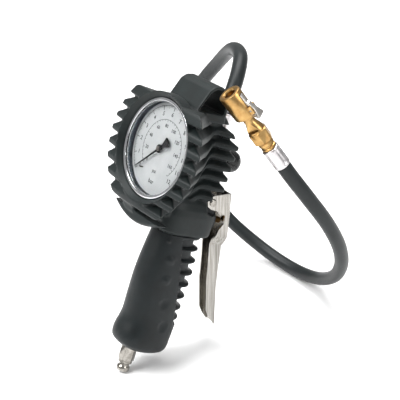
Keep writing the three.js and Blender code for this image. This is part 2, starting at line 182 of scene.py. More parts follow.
# the same rubber, painted a shade darker as painted shade on the grip
gripShadedRubber = mouldedRubber("gripMouldedRubberPaintedShade", "#0B1011", "#131A1C", 0.46, 1100)
# extruded skin, a longer highlight
hoseRubber = mouldedRubber("hoseExtrudedRubber", "#15191A", "#1E2324", 0.4, 900)
# matt coat on the casting
powderCoat = mouldedRubber("castZincPowderCoat", "#16181A", "#202325", 0.55, 1500)
nitrileRubber = mouldedRubber("nitrileSeal", "#121314", "#1C1D1E", 0.7, 1500)  # dull black
# bright sheet with grey streaks that follow the lever, partly brushing and partly painted reflection
leverSteel = brushedSteel("leverPolishedSteel", "#7A766F", "#C0BDB8", 0.2, (math.radians(18), 0, 0))
plugSteel = turnedMetal("plugPlatedSteel", "#736F69", "#B0ACA5", 0.24)  # plated bar, mid grey
springSteel = turnedMetal("springSteel", "#77736E", "#B5B2AD", 0.3)  # drawn wire, plain grey
clipSteel = turnedMetal("clipBlankedSteel", "#B9B5B0", "#D8D4CE", 0.36)  # pale sheet, soft shine
crimpAlloy = turnedMetal("ferruleCrimpedAluminium", "#C2BEBF", "#E4E1E2", 0.3)  # almost white, soft rings
turnedBrass = turnedMetal("chuckTurnedBrass", "#A57C48", "#C8A56C", 0.3)  # warm satin gold
innerBrass = turnedMetal("movementStampedBrass", "#9A7434", "#C9A050", 0.34)  # duller yellow stampings
caseSteel = turnedMetal("caseDrawnSteel", "#5A636E", "#8A939E", 0.34)  # blue-grey drawn sheet
bezelSteel = turnedMetal("bezelStainlessSteel", "#D5D7DA", "#F2F3F5", 0.12)  # bright polished ring
blackPlastic = mouldedRubber("capGlossPlastic", "#0D0E0F", "#151617", 0.24, 700)  # glossy moulded black
pointerPaint = mouldedRubber("pointerBlackPaint", "#101112", "#1A1B1C", 0.45, 900)  # flat black needle
printInk = mouldedRubber("dialPrintedInk", "#0C0D0E", "#141516", 0.6, 1500)  # black figures
dialPaint = mouldedRubber("dialStovedPaint", "#ABAEAF", "#B9BCBC", 0.5, 600)  # pale grey, no shine

glass, glassTree, glassShader, glassPlace = newMaterial(
    "windowMouldedAcrylic", "#FFFFFF", 0.03, 0,
    {"Transmission Weight": 1.0, "IOR": 1.15, "Specular IOR Level": 0.5})
# Clear moulded window: a faint haze of fine wear breaks its shine. Its IOR is below that of solid
# acrylic, so that so thin a window hardly shifts the dial behind it
haze = addNode(
    glassTree, "ShaderNodeTexNoise", {"Scale": 90, "Detail": 4}, {"Vector": (glassPlace, "Object")})
roughBetween(glassTree, glassShader, haze, "Fac", 0.0, 0.05)


def shapeFrom(points, closed=True):
    # a wire outline, to fill, spin or bridge
    bm = bmesh.new()
    verts = [bm.verts.new(p) for p in points]
    for a, b in zip(verts, verts[1:] + (verts[:1] if closed else [])):
        bm.edges.new((a, b))
    return bm


def tidyShape(bm, merge=0.001):
    bmesh.ops.remove_doubles(bm, verts=bm.verts, dist=merge)
    bmesh.ops.recalc_face_normals(bm, faces=bm.faces)
    return bm


def spinShape(profile, steps=48, axis="z", centre=(0, 0, 0)):
    # profile is a list of (radius, distance along the axis)
    bm = shapeFrom([(r, 0, h) for r, h in profile], closed=False)
    bmesh.ops.spin(
        bm, geom=bm.verts[:] + bm.edges[:], axis=(0, 0, 1), cent=(0, 0, 0), angle=2 * math.pi, steps=steps,
        use_merge=True)
    tidyShape(bm)
    turns = {"z": Matrix.Identity(4), "y": Matrix.Rotation(math.radians(-90), 4, "X"),
             "x": Matrix.Rotation(math.radians(90), 4, "Y")}
    bmesh.ops.transform(bm, matrix=Matrix.Translation(centre) @ turns[axis], verts=bm.verts)
    return bm


def drawnOut(outline, low, high, along="x"):
    # a flat outline drawn out: (y, z) points along x, (x, z) points along y, (x, y) points along z
    where = {
        "x": lambda a, b: (low, a, b), "y": lambda a, b: (a, low, b), "z": lambda a, b: (a, b, low),
    }[along]
    bm = shapeFrom([where(a, b) for a, b in outline])
    face = bmesh.ops.contextual_create(bm, geom=bm.edges[:])["faces"]
    grown = bmesh.ops.extrude_face_region(bm, geom=face)["geom"]
    step = {"x": (high - low, 0, 0), "y": (0, high - low, 0), "z": (0, 0, high - low)}[along]
    bmesh.ops.translate(bm, verts=[g for g in grown if isinstance(g, bmesh.types.BMVert)], vec=step)
    return tidyShape(bm)


def blockShape(x0, x1, y0, y1, z0, z1):
    bm = bmesh.new()
    bmesh.ops.create_cube(bm, size=1)
    bmesh.ops.scale(bm, vec=(x1 - x0, y1 - y0, z1 - z0), verts=bm.verts)
    bmesh.ops.translate(bm, vec=((x0 + x1) / 2, (y0 + y1) / 2, (z0 + z1) / 2), verts=bm.verts)
    return bm


def loftShape(loops):
    # closed loops of points, bridged one after another and capped
    bm = bmesh.new()
    rings = []
    for loop in loops:
        verts = [bm.verts.new(p) for p in loop]
        rings.append([bm.edges.new((a, b)) for a, b in zip(verts, verts[1:] + verts[:1])])
    for lower, upper in zip(rings, rings[1:]):
        bmesh.ops.bridge_loops(bm, edges=lower + upper)
    for ring in (rings[0], rings[-1]):
        bmesh.ops.contextual_create(bm, geom=ring)
    bmesh.ops.recalc_face_normals(bm, faces=bm.faces)
    return bm


def joinShapes(shapes):
    whole = bmesh.new()
    for shape in shapes:
        step = bpy.data.meshes.new("step")
        shape.to_mesh(step)
        shape.free()
        whole.from_mesh(step)
        bpy.data.meshes.remove(step)
    return whole


def softenEdges(bm, width, angle=30, segments=2):
    sharp = [e for e in bm.edges if len(e.link_faces) == 2 and e.calc_face_angle(0) > math.radians(angle)]
    bmesh.ops.bevel(
        bm, geom=sharp, offset=width, offset_type="OFFSET", segments=segments, profile=0.5, affect="EDGES",
        clamp_overlap=True, material=-1)
    return bm


def toObject(name, bm, material=None, smoothAngle=35):
    for face in bm.faces:
        face.smooth = True
    for edge in bm.edges:
        if len(edge.link_faces) == 2:
            edge.smooth = edge.calc_face_angle(0) < math.radians(smoothAngle)
    mesh = bpy.data.meshes.new(name)
    bm.to_mesh(mesh)
    bm.free()
    piece = bpy.data.objects.new(name, mesh)
    scene.collection.objects.link(piece)
    if material:
        mesh.materials.append(material)
    return piece


def takeShape(piece):
    # the shape of a helper object, which goes
    bm = bmesh.new()
    bm.from_mesh(piece.data)
    bpy.data.objects.remove(piece)
    return bm


def bakeModifiers(piece):
    bpy.context.view_layer.update()
    evaluated = piece.evaluated_get(bpy.context.evaluated_depsgraph_get())
    mesh = bpy.data.meshes.new_from_object(evaluated)
    piece.modifiers.clear()
    old = piece.data
    piece.data = mesh
    mesh.name = piece.name
    bpy.data.meshes.remove(old)


def cutAway(piece, shapes, operation="DIFFERENCE", selfCrossing=True):
    cutter = toObject("cutter", joinShapes(shapes))
    cut = piece.modifiers.new("cut", "BOOLEAN")
    cut.operation = operation
    cut.solver = "EXACT"
    cut.use_self = selfCrossing
    cut.object = cutter
    bakeModifiers(piece)
    bpy.data.objects.remove(cutter)


def markSharp(piece, angle=35):
    bm = bmesh.new()
    bm.from_mesh(piece.data)
    bmesh.ops.remove_doubles(bm, verts=bm.verts, dist=1e-6)
    for face in bm.faces:
        face.smooth = True
    for edge in bm.edges:
        if len(edge.link_faces) == 2:
            edge.smooth = edge.calc_face_angle(0) < math.radians(angle)
    bm.to_mesh(piece.data)
    bm.free()


def addPiece(piece, body, replaced=(), matrix=leanBack):
    piece.data.transform(matrix)
    piece.data.update()
    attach(piece, body)
    if replaced:
        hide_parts(*replaced)
    return piece


def between(value, low, high):
    # 0 below low, 1 above high, a soft step between
    t = min(1, max(0, (value - low) / (high - low)))
    return t * t * (3 - 2 * t)


print("hose")
hose = {
    "radius": 6.25,
    "route": [
        (0, 107.05, 208.7), (-1.1, 111.9, 218.2), (-10.2, 126.2, 232.2), (-27, 142, 240),
        (-60.5, 159.5, 233.5), (-91, 168, 211.5), (-124, 168, 174), (-140.5, 169.5, 127.5),
        (-134.5, 178, 78.5), (-112, 195, 38), (-74, 212, 12.5), (-37, 219, 5), (-1, 218, 11.5),
        (30, 210, 31), (52.5, 196.5, 59), (66.5, 178.5, 90), (72.2, 157.5, 121), (70.8, 135.5, 151),
        (66.6, 121, 171.8), (63.52, 114.6, 182.2),
    ],
}
hoseCurve = bpy.data.curves.new("hoseTube", "CURVE")
hoseCurve.dimensions = "3D"
hoseCurve.bevel_depth = hose["radius"] / 1000
hoseCurve.bevel_resolution = 8
hoseCurve.use_fill_caps = True


def smoothRoute(points, steps):
    # the even curve that the CAD hose follows through its points
    knots = [Vector(p) for p in points]
    knots = [2 * knots[0] - knots[1]] + knots + [2 * knots[-1] - knots[-2]]
    path = []
    for p0, p1, p2, p3 in zip(knots, knots[1:], knots[2:], knots[3:]):
        d0, d1, d2 = [(b - a).length ** 0.5 for a, b in ((p0, p1), (p1, p2), (p2, p3))]
        leaving = ((p1 - p0) / d0 - (p2 - p0) / (d0 + d1) + (p2 - p1) / d1) * d1
        arriving = ((p2 - p1) / d1 - (p3 - p1) / (d1 + d2) + (p3 - p2) / d2) * d1
        for i in range(steps):
            t = i / steps
            path.append(
                (2 * t ** 3 - 3 * t * t + 1) * p1 + (t ** 3 - 2 * t * t + t) * leaving
                + (3 * t * t - 2 * t ** 3) * p2 + (t ** 3 - t * t) * arriving)
    return path + [knots[-2]]


hosePath = [p / 1000 for p in smoothRoute(hose["route"], 12)]
spline = hoseCurve.splines.new("POLY")
spline.points.add(len(hosePath) - 1)
for knot, spot in zip(spline.points, hosePath):
    knot.co = (*spot, 1)
hoseTube = bpy.data.objects.new("hoseTube", hoseCurve)
scene.collection.objects.link(hoseTube)
hoseCurve.materials.append(hoseRubber)

print("rubber head boot")
boot = {
    "lipRadius": 44.5, "lipFront": -46.2, "finRadius": 58, "finCount": 8, "finPitch": 11.34,
    "rim": 4.3, "lowestFin": -48.7, "grooveDepth": 10, "leftShare": 0.42, "voxel": 0.72,
    "bottom": 139, "tall": 94, "levels": 188,
    "flankSlope": 0.93,      # how fast the sides close in behind the front corners
    "cornerFront": -43.9,    # where the sides begin
    "grooveAcross": 1.15, "grooveBack": 0.8,    # the groove's depth sideways and from the front
    "lipLean": 0.17, "mostTriangles": 180000,
}


def grooveInset(height):
    # how far the skin lies inside the fin tips: a blunt rim, then a slope up to the next fin
    first = dialHeight + boot["lowestFin"]
    deepest = boot["grooveDepth"]
    if height < first:
        return deepest * min(1, (first - height) / 2.2)
    if height > first + boot["finPitch"] * (boot["finCount"] - 1):
        return 1.2 * between(height, 231.6, 233)
    up = (height - first) % boot["finPitch"]
    rim = boot["rim"]
    floor = boot["finPitch"] - 1.2
    if up > floor:
        return deepest * (1 - (up - floor) / (boot["finPitch"] - floor))
    return deepest * max(0, (up - rim) / (floor - rim)) ** 0.9


def finRise(y, height):
    # the fins bend upwards on their way to the rear, the lower ones most
    share = min(1, max(0, (226 - height) / 82))
    climb = (1 + 16 * share ** 1.2) * between(y, -13, 11)
    return climb - 1.2 * between(y, -34, -16) * (1 - between(y, -12, 2))


def finSide(height, inset):
    # one half of the outline at this height, from the middle of the front to the middle of the rear
    above = height - dialHeight
    rear = 29 if height < 203 else 31 - (height - 203) * 29 / 35
    rear = min(rear, 29) - 0.5 * min(inset, 7)

    def halfWidth(y):
        corner = math.sqrt(max(0, boot["finRadius"] ** 2 - above * above))
        flank = max(
            0, corner - boot["flankSlope"] * (y - boot["cornerFront"]) - boot["grooveAcross"] * inset)
        spine = 11.6 + 5.6 * between(y, 3, 20) - 0.62 * min(inset, 8)
        return (flank ** 6 + spine ** 6) ** (1 / 6)

    def frontAt(x):
        reach = math.hypot(x, above)
        lean = max(0, reach - boot["lipRadius"]) * boot["lipLean"]
        return boot["lipFront"] + lean + boot["grooveBack"] * inset

    wide = halfWidth(boot["cornerFront"] + boot["grooveBack"] * inset)
    side = [(wide * t / 9, frontAt(wide * t / 9)) for t in range(1, 10)]
    start = side[-1][1]
    end = max(rear, start + 6)
    flankPlaces = [start + (end - start) * t / 44 for t in range(1, 45)]
    side += [(halfWidth(y), y) for y in flankPlaces]
    rearHalf = side[-1][0]
    side[-1] = (rearHalf - 1.2, end)
    side += [(rearHalf * t / 6, end + 0.7) for t in range(5, 0, -1)]
    return [(0, frontAt(0))] + side + [(0, end + 0.7)]


def finOutline(height):
    inset = grooveInset(height)
    right = finSide(height, inset)
    left = finSide(height, inset * boot["leftShare"])
    ring = right + [(-x, y) for x, y in reversed(left[1:-1])]
    return [(x, y, height + finRise(y, height)) for x, y in ring]


finLevels = [boot["bottom"] + boot["tall"] * i / boot["levels"] for i in range(boot["levels"] + 1)]
finStack = loftShape([finOutline(h) for h in finLevels])
dialCentre = (0, 0, dialHeight)
core = spinShape([(0, -46.2), (44.5, -46.2), (44.5, -35), (12, -3), (0, -3)], 72, "y", dialCentre)
spine = blockShape(-8.5, 8.5, -12, 20, 144, 224)
lobeDisc = spinShape([(0, -40.5), (60, -40.5), (61.5, -39), (61.5, -29), (0, -29)], 96, "y", dialCentre)
neck = loftShape([
    [
        (
            math.copysign(abs(math.cos(a)) ** 0.62, math.cos(a)) * half,
            math.copysign(abs(math.sin(a)) ** 0.62, math.sin(a)) * (rear - front) / 2 + (rear + front) / 2,
            height,
        )
        for a in [2 * math.pi * i / 48 for i in range(48)]
    ]
    for height, half, front, rear in [
        (128.6, 15.4, -13.4, 34.4), (129.4, 16.2, -14.4, 35.2), (131, 17, -17, 36), (146, 17, -17, 36),
        (151, 16.2, -16, 35.4), (156, 13.6, -14, 34), (160, 10.5, -12, 32)]
])
hoodOuter = drawnOut([
    (-31, 226), (-28, 236), (-22.5, 249.5), (-18, 253.3), (-11, 254.6), (-5, 252), (-1, 246), (1, 236),
    (2, 226),
], -20, 20)
hoodInner = drawnOut([
    (-27, 233), (-25.4, 237), (-20.6, 247.8), (-17, 251), (-11, 252.2), (-6.4, 250), (-3, 245), (-1.4, 233),
], -30, 30)

bootPiece = toObject("bootMoulding", joinShapes([finStack, core, spine, neck]))
lobe = toObject("lobe", lobeDisc)
cutAway(lobe, [blockShape(-70, 70, -60, 20, 140.6, 280), blockShape(-70, 70, -60, 20, 120, 131.5)])
lobeShape = takeShape(lobe)
hood = toObject("hood", hoodOuter)
cutAway(hood, [hoodInner])
hoodShape = takeShape(hood)
bootPiece = toObject("bootMoulding", joinShapes([takeShape(bootPiece), lobeShape, hoodShape]))
lensCone = spinShape([
    (0, -48), (44.25, -48), (44.25, -46.4), (40.4, -41.6), (40.4, -32.8), (31.4, -25.6), (17.4, -12.4),
    (0, -12.4),
], 96, "y", dialCentre)
leverRoom = drawnOut([
    (19.5, 150.6), (19.5, 170.5), (70, 170.5), (70, 118), (39, 118), (39, 148.5), (26, 148.5)], -30, 30)
capHole = spinShape([(0, 20), (10.2, 20), (10.2, 50), (0, 50)], 48, "y", dialCentre)
valveHole = spinShape([(0, 24), (10.3, 24), (10.3, 50), (0, 50)], 48, "y", (0, 0, valveHeight))
lugRoom = blockShape(-8.6, 8.6, 15, 40, 148, 166)
outletRoom = blockShape(-9.6, 9.6, 11, 40, 202, 240)
cutAway(bootPiece, [lensCone, leverRoom, capHole, valveHole, lugRoom, outletRoom])
remesh = bootPiece.modifiers.new("skin", "REMESH")
remesh.mode = "VOXEL"
remesh.voxel_size = boot["voxel"]
smooth = bootPiece.modifiers.new("soften", "SMOOTH")
smooth.factor = 0.5
smooth.iterations = 3
bakeModifiers(bootPiece)
bootPiece.data.materials.clear()
bootPiece.data.materials.append(bootRubber)
bootTriangles = sum(len(p.vertices) - 2 for p in bootPiece.data.polygons)
print("boot triangles", bootTriangles)
if bootTriangles > boot["mostTriangles"] + 5000:
    thin = bootPiece.modifiers.new("thin", "DECIMATE")
    thin.ratio = boot["mostTriangles"] / bootTriangles
    bakeModifiers(bootPiece)
markSharp(bootPiece, 180)
addPiece(bootPiece, "gun", ["head_boot"])

print("rubber grip")
grip = {
    "sections": [
        (24, 16.5, -10, 27), (25.5, 18.6, -13, 29.6), (29, 20.2, -17, 31.3), (36, 20.6, -18.2, 31.9),
        (50, 19.4, -15.6, 33), (65, 18.9, -16.2, 33.2), (85, 18.6, -17.2, 33.8), (100, 18.3, -16.6, 33.4),
        (117, 17.3, -15, 31), (128.3, 16.4, -13.8, 29.8),
    ],
    "ribs": [117.4, 106.9, 96.3, 85.8, 75.2, 65, 56, 48.8],
    "pocketDepth": 4.6,
    "ribHalf": 1.35,
    "squareness": 2.3,
    # along, height, radius and rise of the round marks on one cheek; the lower two are dents
    "bumps": [(-7.6, 123, 2.2, 0.9), (-2.2, 108, 5.2, 1.5), (-0.9, 90.5, 5.4, 1.5), (4.2, 70, 6, -1.6),
              (10, 50, 6.4, -1.6)],
}


def gripSection(height):
    rows = grip["sections"]
    for i in range(len(rows) - 1):
        if height <= rows[i + 1][0]:
            break
    before, low, high = rows[max(0, i - 1)], rows[i], rows[i + 1]
    after = rows[min(len(rows) - 1, i + 2)]
    t = (height - low[0]) / (high[0] - low[0])
    blended = []
    for k in (1, 2, 3):
        leaving = (high[k] - before[k]) / (high[0] - before[0]) * (high[0] - low[0])
        arriving = (after[k] - low[k]) / (after[0] - low[0]) * (high[0] - low[0])
        blended.append(
            (2 * t ** 3 - 3 * t * t + 1) * low[k] + (t ** 3 - 2 * t * t + t) * leaving
            + (3 * t * t - 2 * t ** 3) * high[k] + (t ** 3 - t * t) * arriving)
    return blended


def gripRing(height):
    half, front, rear = gripSection(height)
    ring = []
    fromRib = min(abs(height - z) for z in grip["ribs"])
    ribbed = between(height, 48.6, 50.2) * (1 - between(height, 125.4, 126.4))
    pocket = between(fromRib, grip["ribHalf"] - 0.75, grip["ribHalf"] + 0.55) * ribbed
    edge = 3.4 + (126 - height) * 0.263
    for i in range(176):
        a = 2 * math.pi * i / 176
        c, s = math.cos(a), math.sin(a)
        lobes = (abs(c) ** (2 / grip["squareness"]), abs(s) ** (2 / grip["squareness"]))
        y = math.copysign(lobes[1], s) * (rear - front) / 2 + (rear + front) / 2
        depth = grip["pocketDepth"] * pocket * between(y, edge - 0.3, edge + 0.6)
        x = math.copysign(lobes[0], c) * (half - depth)
        lift = 0
        if c > 0:
            for by, bz, size, rise in grip["bumps"]:
                away = math.hypot(y - by, height - bz) / size
                if away < 1:
                    lift += rise * (1 - away * away) ** 2
        y = math.copysign(lobes[1], s) * ((rear - front) / 2 - depth) + (rear + front) / 2
        ring.append((x + lift, y, height))
    return ring


gripLevels = [24 + 104.3 * i / 150 for i in range(151)]
gripPiece = toObject("gripMoulding", loftShape([gripRing(h) for h in gripLevels]), gripShadedRubber, 60)
cutAway(gripPiece, [spinShape([(0, 10), (5.3, 10), (5.3, 60), (0, 60)], 32)], selfCrossing=False)
markSharp(gripPiece, 70)
addPiece(gripPiece, "gun", ["grip_sleeve"])

print("gauge")
bezel = toObject("bezelRing", spinShape([
    (37, -41.0), (37.4, -41.6), (38.6, -41.9), (39.6, -41.6), (40, -40.8), (40, -33), (39.3, -33),
    (39.3, -38.5), (37, -38.5), (37, -41.0),
], 128, "y", dialCentre), bezelSteel)
addPiece(bezel, "gun", ["gauge_bezel"])
window = toObject("windowLens", spinShape([
    (0, -41.3), (15, -41.2), (28, -40.9), (36, -40.4), (36.7, -40.1), (36.7, -39.2), (0, -39.6),
], 96, "y", dialCentre), glass)
addPiece(window, "gun", ["gauge_window"])
dial = {
    "start": 225, "sweep": 270, "face": -34.2,
    "barEnd": 12, "barRing": 34.2, "barNumbers": 27.9, "barSize": 4.7,
    "psiRing": 23.4, "psiNumbers": 18.4, "psiSize": 3.9,
}
disc = toObject("dialDisc", spinShape([
    (0, -34.2), (36, -34.2), (36.5, -34.0), (36.5, -33.4), (0, -33.4)], 96, "y", dialCentre), dialPaint)
addPiece(disc, "gun", ["dial_plate"])


def dialPlace(radius, degrees, lift=0.02):
    a = math.radians(degrees)
    return Vector((radius * math.cos(a), dial["face"] - lift, dialHeight + radius * math.sin(a)))


def dialTick(inner, outer, width, degrees):
    mark = blockShape(inner, outer, dial["face"] - 0.06, dial["face"] + 0.02, -width / 2, width / 2)
    turn = Matrix.Rotation(math.radians(-degrees), 4, "Y")
    bmesh.ops.transform(mark, matrix=Matrix.Translation(dialCentre) @ turn, verts=mark.verts)
    return mark


def dialArc(radius, width, fromDegrees, sweep):
    outline = []
    for r in (radius - width / 2, radius + width / 2):
        arc = [dialPlace(r, fromDegrees - sweep * i / 60, -0.02) for i in range(61)]
        outline += arc if r < radius else arc[::-1]
    bm = shapeFrom(outline)
    face = bmesh.ops.contextual_create(bm, geom=bm.edges[:])["faces"]
    grown = bmesh.ops.extrude_face_region(bm, geom=face)["geom"]
    bmesh.ops.translate(bm, verts=[g for g in grown if isinstance(g, bmesh.types.BMVert)], vec=(0, -0.08, 0))
    return tidyShape(bm)


def dialText(words, spot, size):
    text = bpy.data.curves.new("words", "FONT")
    text.body = words
    text.size = size
    text.align_x = "CENTER"
    text.align_y = "CENTER"
    text.extrude = 0.03
    text.offset = 0.06
    text.resolution_u = 2
    holder = bpy.data.objects.new("words", text)
    scene.collection.objects.link(holder)
    bpy.context.view_layer.update()
    flat = bpy.data.meshes.new_from_object(holder.evaluated_get(bpy.context.evaluated_depsgraph_get()))
    bpy.data.objects.remove(holder)
    flat.transform(Matrix.Translation(spot) @ Matrix.Rotation(math.radians(90), 4, "X"))
    bm = bmesh.new()
    bm.from_mesh(flat)
    bpy.data.meshes.remove(flat)
    return tidyShape(bm, 0.0005)


marks = [dialArc(dial[ring], 0.3, dial["start"], dial["sweep"]) for ring in ("barRing", "psiRing")]
for i in range(121):
    tickLength = 3.4 if i % 10 == 0 else (2.4 if i % 5 == 0 else 1.5)
    tickWidth = 0.6 if i % 10 == 0 else 0.28
    degrees = dial["start"] - dial["sweep"] * i / 120
    marks.append(dialTick(dial["barRing"] - tickLength, dial["barRing"], tickWidth, degrees))
for i in range(dial["barEnd"] + 1):
    degrees = dial["start"] - dial["sweep"] * i / dial["barEnd"]
    marks.append(dialText(str(i), dialPlace(dial["barNumbers"], degrees), dial["barSize"]))
for i in range(35):
    tickLength = 1.9 if i % 4 == 0 else 1.1
    degrees = dial["start"] - dial["sweep"] * i / 34
    marks.append(dialTick(dial["psiRing"] - tickLength, dial["psiRing"], 0.3, degrees))
for i in range(0, 17, 2):
    degrees = dial["start"] - dial["sweep"] * i / 17
    marks.append(dialText(str(i * 10), dialPlace(dial["psiNumbers"], degrees), dial["psiSize"]))
marks.append(dialText("bar", dialPlace(27, 270), 5.0))
marks.append(dialText("psi", dialPlace(18.5, 270), 4.2))
printPiece = toObject("dialPrint", joinShapes(marks), printInk)
addPiece(printPiece, "gun", [])

needleOutline = [
    (-11.4, 4.1), (-10.8, 4.1), (-4.2, 1.1), (3.2, 0.85), (31, 0.35), (31, -0.35), (3.2, -0.85),
    (-4.2, -1.1), (-10.8, -4.1), (-11.4, -4.1), (-12.2, -2), (-12.4, 0), (-12.2, 2),
]
needle = drawnOut(needleOutline, -37, -36.4, "y")
hub = spinShape([(0, -37.6), (2.8, -37.5), (3.4, -37.0), (3.4, -36.4), (0, -36.4)], 32, "y")
needle = joinShapes([needle, hub])
bmesh.ops.transform(
    needle, matrix=Matrix.Translation(dialCentre) @ Matrix.Rotation(math.radians(-dial["start"]), 4, "Y"),
    verts=needle.verts)
addPiece(toObject("pointerNeedle", needle, pointerPaint), "pointer_body", ["pointer"])

print("rear cap")
cap = spinShape([
    (0, 21.2), (5.9, 21.2), (5.9, 27.8), (8.9, 27.8), (9.6, 28.5), (9.6, 39), (9.3, 41.2), (8.5, 43.4),
    (7.1, 45.2), (5.2, 46.2), (2.6, 46.6), (0, 46.6),
], 64, "y", dialCentre)
addPiece(toObject("rearCapTurned", cap, blackPlastic, 40), "gun", ["rear_cap"])

print("trigger lever")
lever = {"sheet": 1.3, "wide": 10.4, "narrow": 6.0, "bore": 2.1, "foldRadius": 2.4}
pivotPlace = (0, pivot["y"], pivot["z"])
leverRear = [
    (79.8, 49.4), (67.6, 82), (61.2, 105), (57, 121), (57.4, 126), (55.6, 132), (52.6, 142), (44.6, 168.4),
]
leverFront = [
    (43, 168.6), (27, 165), (22.6, 163), (21, 159), (22.8, 155), (27, 153), (38, 151.6), (44.6, 149),
    (46.4, 142), (43, 136), (42, 126), (44.6, 118), (48.4, 107), (54.6, 87), (65.6, 60), (71, 54),
    (79, 47.6),
]
channel = drawnOut(leverRear + leverFront, -lever["wide"], lever["wide"])
for cutHeight in (131, 121):
    bmesh.ops.bisect_plane(
        channel, geom=channel.verts[:] + channel.edges[:] + channel.faces[:], plane_co=(0, 0, cutHeight),
        plane_no=(0, 0, 1), dist=0.001)
for vert in channel.verts:
    share = between(vert.co.z, 120.9, 131.1)
    vert.co.x = math.copysign(lever["narrow"] + (lever["wide"] - lever["narrow"]) * share, vert.co.x)


def isOpenFace(face):
    # the channel is open towards the grip: every edge-on face but the web is taken away
    if abs(face.normal.x) > 0.7:
        return False
    centre = face.calc_center_median()
    onWeb = any(
        abs((b[0] - a[0]) * (centre.z - a[1]) - (b[1] - a[1]) * (centre.y - a[0]))
        / math.hypot(b[0] - a[0], b[1] - a[1]) < 0.05
        and min(a[1], b[1]) - 0.05 <= centre.z <= max(a[1], b[1]) + 0.05
        for a, b in zip(leverRear, leverRear[1:]))
    return not onWeb


openFaces = [f for f in channel.faces if isOpenFace(f)]
bmesh.ops.delete(channel, geom=openFaces, context="FACES")
folds = [
    e for e in channel.edges
    if len(e.link_faces) == 2 and e.calc_face_angle(0) > math.radians(60)
]
bmesh.ops.bevel(
    channel, geom=folds, offset=lever["foldRadius"], offset_type="OFFSET", segments=5, profile=0.5,
    affect="EDGES", clamp_overlap=True, material=-1)
leverPiece = toObject("triggerChannel", channel, leverSteel, 40)
wall = leverPiece.modifiers.new("sheet", "SOLIDIFY")
wall.thickness = lever["sheet"]
wall.offset = -1
bakeModifiers(leverPiece)
pivotBore = spinShape([(0, -20), (lever["bore"], -20), (lever["bore"], 20), (0, 20)], 32, "x", pivotPlace)
cutAway(leverPiece, [pivotBore], selfCrossing=False)
markSharp(leverPiece, 35)
addPiece(leverPiece, "trigger", ["trigger_lever"])
for name, low, high in (("pin_head_left", -11.8, -10.6), ("pin_head_right", 10.6, 11.8)):
    outer = high if high > 0 else low
    inner = low if high > 0 else high
    thick = outer - inner
    crown = spinShape([
        (0, inner), (3.2, inner), (3.2, inner + thick * 0.55), (2.7, inner + thick * 0.9),
        (2, outer), (0, outer)], 32, "x", pivotPlace)
    bmesh.ops.recalc_face_normals(crown, faces=crown.faces)
    addPiece(toObject(name + "_rivet", crown, plugSteel), "trigger", [name])

print("air plug")
nose = spinShape([
    (2.2, 0.4), (2.8, 0), (4.6, 0), (5.2, 0.3), (5.5, 0.9), (5.5, 3.4), (5.3, 3.8), (4.3, 4.9), (4.2, 5.2),
    (4.2, 6.5), (4.5, 6.9), (5.7, 7.5), (5.9, 7.8), (5.9, 9.9), (5, 10.4), (2.2, 10.4), (2.2, 0.4),
], 64)
hexBlank = bmesh.new()
bmesh.ops.create_cone(hexBlank, cap_ends=True, segments=6, radius1=6.93, radius2=6.93, depth=13.6)
bmesh.ops.translate(hexBlank, vec=(0, 0, 16.6), verts=hexBlank.verts)
softenEdges(hexBlank, 0.25, 40, 2)
hexPiece = toObject("hex", hexBlank)
cutAway(hexPiece, [spinShape([
    (0, 9.8), (6.0, 9.8), (7.2, 10.9), (7.2, 22.3), (6.0, 23.4), (0, 23.4)], 64)], "INTERSECT", False)
hexShape = takeShape(hexPiece)
bmesh.ops.rotate(hexShape, matrix=Matrix.Rotation(math.radians(30), 3, "Z"), verts=hexShape.verts)
shank = spinShape([(0, 23), (3.1, 23), (3.1, 33), (0, 33)], 32)
plug = toObject("airPlugTurned", joinShapes([nose, hexShape, shank]), plugSteel, 30)
addPiece(plug, "gun", ["air_plug"])

print("ferrules")


def ferruleShape(length, radius, flutes=8):
    shape = spinShape([
        (radius - 1.4, 0.3), (radius - 0.7, 0), (radius - 0.2, 0.3), (radius, 0.9), (radius, 2.2),
        (radius - 0.06, 3.0), (radius - 0.06, 6), (radius - 0.06, 9), (radius - 0.06, 12),
        (radius - 0.06, length - 3.0), (radius, length - 2.2), (radius, length - 0.9),
        (radius - 0.2, length - 0.3), (radius - 0.7, length), (radius - 1.4, length - 0.3),
        (radius - 1.4, 0.3),
    ], 96)
    for vert in shape.verts:
        if 2.6 < vert.co.z < length - 2.6 and math.hypot(vert.co.x, vert.co.y) > radius - 1:
            a = math.atan2(vert.co.y, vert.co.x)
            pinch = 1 - 0.07 * (0.5 - 0.5 * math.cos(flutes * a)) ** 3
            vert.co.x *= pinch
            vert.co.y *= pinch
    return shape


gunFerrule = ferruleShape(21, 6.9)
bmesh.ops.translate(gunFerrule, vec=(0, 17, 211.9), verts=gunFerrule.verts)
gunFerrulePiece = addPiece(
    toObject("gunFerruleCrimped", gunFerrule, crimpAlloy), "gun", ["gun_ferrule"])

print("chuck")
chuck = {"end": (63.4, 114.27, 182.64), "axis": (-0.2517, -0.5117, 0.8215), "side": (0.845, 0.3, 0.447),
         "tabFlare": 1.6, "clipPin": (9.6, 0, 57.5)}
axis = Vector(chuck["axis"]).normalized()
sideways = Vector(chuck["side"])
sideways = (sideways - sideways.dot(axis) * axis).normalized()
third = axis.cross(sideways)
chuckFrame = Matrix((sideways, third, axis)).transposed().to_4x4()
chuckFrame.translation = Vector(chuck["end"])
chuckFrame = Matrix.Scale(0.001, 4) @ chuckFrame
chuckFerrule = addPiece(
    toObject("chuckFerruleCrimped", ferruleShape(19, 6.9), crimpAlloy), "gun", ["chuck_ferrule"],
    chuckFrame)
collar = spinShape([
    (0, 19.2), (5.5, 19.2), (6, 19.7), (6, 21.2), (5.2, 21.8), (5.2, 22.8), (5.9, 23.2), (6.3, 23.7),
    (6.3, 26.3), (5.9, 26.8), (0, 26.8)], 64)
collarPiece = addPiece(
    toObject("chuckCollarTurned", collar, turnedBrass), "gun", ["chuck_collar"], chuckFrame)
